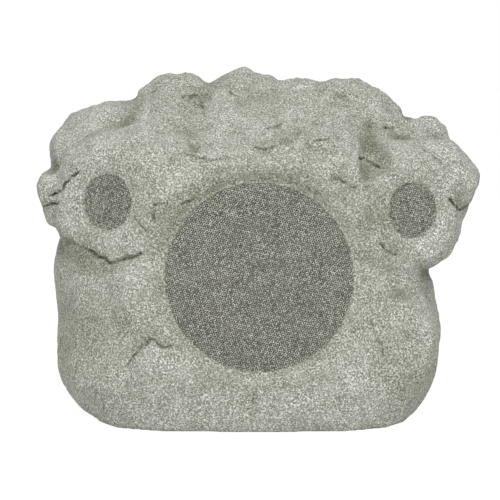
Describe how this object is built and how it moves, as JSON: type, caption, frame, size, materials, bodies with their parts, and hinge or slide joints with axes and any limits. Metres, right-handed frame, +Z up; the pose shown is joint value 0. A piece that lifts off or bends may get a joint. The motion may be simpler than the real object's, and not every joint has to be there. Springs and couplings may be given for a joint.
{
  "type": "rock-shaped garden loudspeaker",
  "caption": "Garden loudspeaker in a hollow cast boulder, with a tilted woofer in its face, a tweeter in each shoulder, lattice grilles and a closed base plate.",
  "frame": {"origin": "on the ground under the middle of the boulder", "axes": "+Z up, +X to the right as seen from the front, the face with the woofer towards -Y"},
  "size_m": [0.48, 0.3933, 0.367],
  "materials": {
    "rock": "rough, speckled like granite",
    "grille": "matt, speckled paint",
    "base_plastic": "fine grain",
    "seal": "matt",
    "screw_steel": "black zinc plated",
    "frame_paint": "satin black",
    "surround_rubber": "matt",
    "cone": "moulded, lightly grained",
    "coil_copper": "wound wire",
    "spider_cloth": "resin-stiffened weave",
    "motor_steel": "zinc plated",
    "ferrite": "ground ceramic",
    "terminal": "laminate",
    "faceplate": "fine grain",
    "dome_cloth": "coated weave",
    "board": "lacquered laminate",
    "capacitor": "moulded case",
    "ceramic": "cast ceramic",
    "block": "moulded"
  },
  "bodies": {
    "rock": {"rock_shell": "rock", "base_plate": "base_plastic", "base_gasket": "seal", "base_screws": "screw_steel", "cable_grommet": "seal", "woofer_grille": "grille", "woofer_screws": "screw_steel", "woofer_gasket": "seal", "woofer_frame": "frame_paint", "woofer_surround": "surround_rubber", "woofer_spider": "spider_cloth", "woofer_front_plate": "motor_steel", "woofer_magnet": "ferrite", "woofer_back_plate": "motor_steel", "woofer_terminals": "terminal", "crossover_board": "board", "woofer_choke": "coil_copper", "terminal_block": "block", "left_tweeter_grille": "grille", "left_tweeter_faceplate": "faceplate", "left_tweeter_screws": "screw_steel", "left_tweeter_dome": "dome_cloth", "left_tweeter_motor": "motor_steel", "left_tweeter_capacitor": "capacitor", "left_tweeter_resistor": "ceramic", "right_tweeter_grille": "grille", "right_tweeter_faceplate": "faceplate", "right_tweeter_screws": "screw_steel", "right_tweeter_dome": "dome_cloth", "right_tweeter_motor": "motor_steel", "right_tweeter_capacitor": "capacitor", "right_tweeter_resistor": "ceramic"},
    "moving_cone": {"woofer_cone": "cone", "woofer_dust_cap": "cone", "woofer_voice_coil": "coil_copper"}
  },
  "joints": [
    {"name": "cone_travel", "type": "slide", "parent": "rock", "child": "moving_cone", "axis": [0, -0.9848, 0.1736], "range_m": [-0.004, 0.004], "stiffness_N_per_m": 1500, "deforming": ["woofer_surround", "woofer_spider"]}
  ]
}
